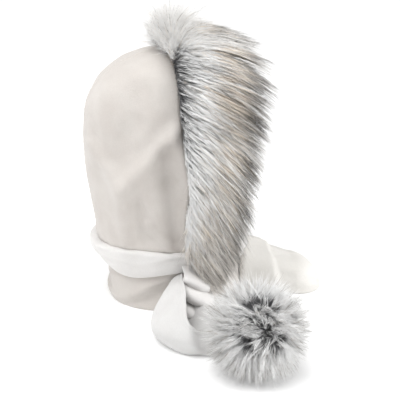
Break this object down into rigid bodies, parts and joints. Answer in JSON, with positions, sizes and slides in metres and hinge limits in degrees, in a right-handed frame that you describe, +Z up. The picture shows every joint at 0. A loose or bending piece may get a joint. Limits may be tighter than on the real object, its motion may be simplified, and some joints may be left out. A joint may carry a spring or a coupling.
{
  "type": "fleece hooded scarf with a faux fur trim",
  "caption": "White fleece hood with a grey faux fur trim round the face, a scarf wrapped round the neck and a fur pompom on one scarf end, laid on a surface.",
  "frame": {"origin": "middle of the bottom face of the whole piece's box, on the surface that it rests on", "axes": "+Z up out of the surface, the face opening looks along -Y, and the wearer's right, with the pompom, is -X"},
  "size_m": [0.4374, 0.313, 0.4066],
  "materials": {
    "fleece": "matt brushed fleece with a short nap",
    "fur_trim": "long faux fur, dark roots, silver middle, taupe tips",
    "pompom_fur": "long faux fur, grey roots and pale tips"
  },
  "bodies": {
    "root": {"hood": "fleece", "scarf_wrap": "fleece", "scarf_end_right": "fleece", "scarf_end_left": "fleece", "fur_trim": "fur_trim", "pompom": "pompom_fur"}
  },
  "joints": []
}
